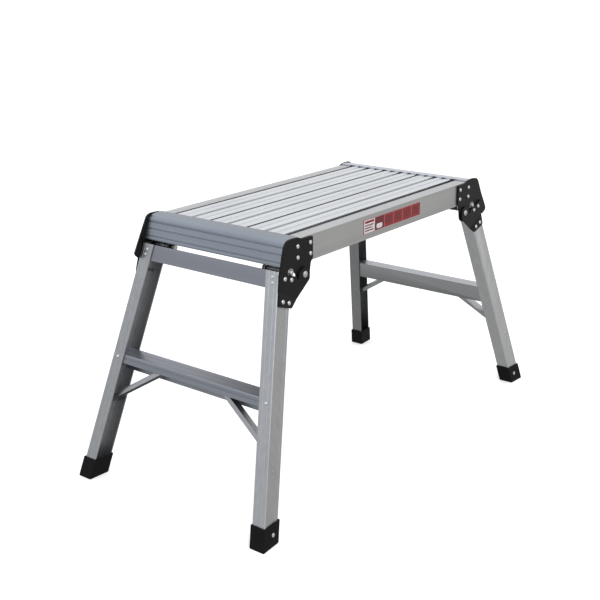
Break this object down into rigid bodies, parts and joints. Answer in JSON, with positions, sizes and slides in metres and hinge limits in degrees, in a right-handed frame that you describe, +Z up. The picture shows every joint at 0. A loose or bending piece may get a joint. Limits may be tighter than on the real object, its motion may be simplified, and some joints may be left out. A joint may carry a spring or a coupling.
{
  "type": "folding work platform",
  "caption": "Low folding work platform: ribbed rectangular aluminium deck on splayed folding leg frames with a step at each end, black hinge plates and rubber feet.",
  "frame": {"origin": "centre of the bounding box at floor level, with the legs open", "axes": "+X along the deck, from the left leg frame to the right one; +Y from the labelled front rail to the back rail; +Z up"},
  "size_m": [0.8884, 0.4288, 0.4617],
  "materials": {
    "side_rail_front": "mill-finish extruded aluminium",
    "side_rail_back": "mill-finish extruded aluminium",
    "deck_plank_front": "ribbed extruded aluminium",
    "deck_plank_middle": "ribbed extruded aluminium",
    "deck_plank_back": "ribbed extruded aluminium",
    "nose_cap_left": "grooved extruded aluminium",
    "nose_cap_right": "grooved extruded aluminium",
    "cross_brace_left": "plain aluminium channel",
    "cross_brace_middle": "plain aluminium channel",
    "cross_brace_right": "plain aluminium channel",
    "side_label": "printed film, plain blocks",
    "deck_hinge_plate_left_front": "black coated steel",
    "deck_hinge_plate_left_back": "black coated steel",
    "deck_hinge_plate_right_front": "black coated steel",
    "deck_hinge_plate_right_back": "black coated steel",
    "top_rail_left": "extruded aluminium",
    "rung_left": "extruded aluminium step",
    "leg_left_front": "extruded aluminium channel",
    "brace_left_front": "folded aluminium strip",
    "foot_left_front": "moulded rubber",
    "leg_hinge_plate_left_front": "black coated steel",
    "pivot_rivet_left_front": "zinc-plated steel",
    "latch_bracket_left_front": "black coated steel",
    "latch_spring_left_front": "spring steel",
    "latch_pin_left_front": "zinc-plated steel",
    "leg_left_back": "extruded aluminium channel",
    "brace_left_back": "folded aluminium strip",
    "foot_left_back": "moulded rubber",
    "leg_hinge_plate_left_back": "black coated steel",
    "pivot_rivet_left_back": "zinc-plated steel",
    "latch_bracket_left_back": "black coated steel",
    "latch_spring_left_back": "spring steel",
    "latch_pin_left_back": "zinc-plated steel",
    "top_rail_right": "extruded aluminium",
    "rung_right": "extruded aluminium step",
    "leg_right_front": "extruded aluminium channel",
    "brace_right_front": "folded aluminium strip",
    "foot_right_front": "moulded rubber",
    "leg_hinge_plate_right_front": "black coated steel",
    "pivot_rivet_right_front": "zinc-plated steel",
    "latch_bracket_right_front": "black coated steel",
    "latch_spring_right_front": "spring steel",
    "latch_pin_right_front": "zinc-plated steel",
    "leg_right_back": "extruded aluminium channel",
    "brace_right_back": "folded aluminium strip",
    "foot_right_back": "moulded rubber",
    "leg_hinge_plate_right_back": "black coated steel",
    "pivot_rivet_right_back": "zinc-plated steel",
    "latch_bracket_right_back": "black coated steel",
    "latch_spring_right_back": "spring steel",
    "latch_pin_right_back": "zinc-plated steel"
  },
  "bodies": {
    "deck": {"side_rail_front": "side_rail_front", "side_rail_back": "side_rail_back", "deck_plank_front": "deck_plank_front", "deck_plank_middle": "deck_plank_middle", "deck_plank_back": "deck_plank_back", "nose_cap_left": "nose_cap_left", "nose_cap_right": "nose_cap_right", "cross_brace_left": "cross_brace_left", "cross_brace_middle": "cross_brace_middle", "cross_brace_right": "cross_brace_right", "side_label": "side_label", "deck_hinge_plate_left_front": "deck_hinge_plate_left_front", "deck_hinge_plate_left_back": "deck_hinge_plate_left_back", "deck_hinge_plate_right_front": "deck_hinge_plate_right_front", "deck_hinge_plate_right_back": "deck_hinge_plate_right_back"},
    "leg_frame_left": {"top_rail_left": "top_rail_left", "rung_left": "rung_left", "leg_left_front": "leg_left_front", "brace_left_front": "brace_left_front", "foot_left_front": "foot_left_front", "leg_hinge_plate_left_front": "leg_hinge_plate_left_front", "pivot_rivet_left_front": "pivot_rivet_left_front", "latch_bracket_left_front": "latch_bracket_left_front", "latch_spring_left_front": "latch_spring_left_front", "leg_left_back": "leg_left_back", "brace_left_back": "brace_left_back", "foot_left_back": "foot_left_back", "leg_hinge_plate_left_back": "leg_hinge_plate_left_back", "pivot_rivet_left_back": "pivot_rivet_left_back", "latch_bracket_left_back": "latch_bracket_left_back", "latch_spring_left_back": "latch_spring_left_back"},
    "leg_frame_right": {"top_rail_right": "top_rail_right", "rung_right": "rung_right", "leg_right_front": "leg_right_front", "brace_right_front": "brace_right_front", "foot_right_front": "foot_right_front", "leg_hinge_plate_right_front": "leg_hinge_plate_right_front", "pivot_rivet_right_front": "pivot_rivet_right_front", "latch_bracket_right_front": "latch_bracket_right_front", "latch_spring_right_front": "latch_spring_right_front", "leg_right_back": "leg_right_back", "brace_right_back": "brace_right_back", "foot_right_back": "foot_right_back", "leg_hinge_plate_right_back": "leg_hinge_plate_right_back", "pivot_rivet_right_back": "pivot_rivet_right_back", "latch_bracket_right_back": "latch_bracket_right_back", "latch_spring_right_back": "latch_spring_right_back"},
    "lock_pin_left_front": {"latch_pin_left_front": "latch_pin_left_front"},
    "lock_pin_left_back": {"latch_pin_left_back": "latch_pin_left_back"},
    "lock_pin_right_front": {"latch_pin_right_front": "latch_pin_right_front"},
    "lock_pin_right_back": {"latch_pin_right_back": "latch_pin_right_back"}
  },
  "joints": [
    {"name": "leg_fold_left", "type": "hinge", "parent": "deck", "child": "leg_frame_left", "pos_m": [-0.2605, 0, 0.398], "axis": [0, -1, 0], "range_deg": [0, 106]},
    {"name": "leg_fold_right", "type": "hinge", "parent": "deck", "child": "leg_frame_right", "pos_m": [0.2605, 0, 0.398], "axis": [0, 1, 0], "range_deg": [0, 92]},
    {"name": "latch_pull_left_front", "type": "slide", "parent": "leg_frame_left", "child": "lock_pin_left_front", "axis": [0, 1, 0], "range_m": [0, 0.006], "stiffness_N_per_m": 400, "springref_m": -0.002, "deforming": ["latch_spring_left_front"]},
    {"name": "latch_pull_left_back", "type": "slide", "parent": "leg_frame_left", "child": "lock_pin_left_back", "axis": [0, -1, 0], "range_m": [0, 0.006], "stiffness_N_per_m": 400, "springref_m": -0.002, "deforming": ["latch_spring_left_back"]},
    {"name": "latch_pull_right_front", "type": "slide", "parent": "leg_frame_right", "child": "lock_pin_right_front", "axis": [0, 1, 0], "range_m": [0, 0.006], "stiffness_N_per_m": 400, "springref_m": -0.002, "deforming": ["latch_spring_right_front"]},
    {"name": "latch_pull_right_back", "type": "slide", "parent": "leg_frame_right", "child": "lock_pin_right_back", "axis": [0, -1, 0], "range_m": [0, 0.006], "stiffness_N_per_m": 400, "springref_m": -0.002, "deforming": ["latch_spring_right_back"]}
  ]
}
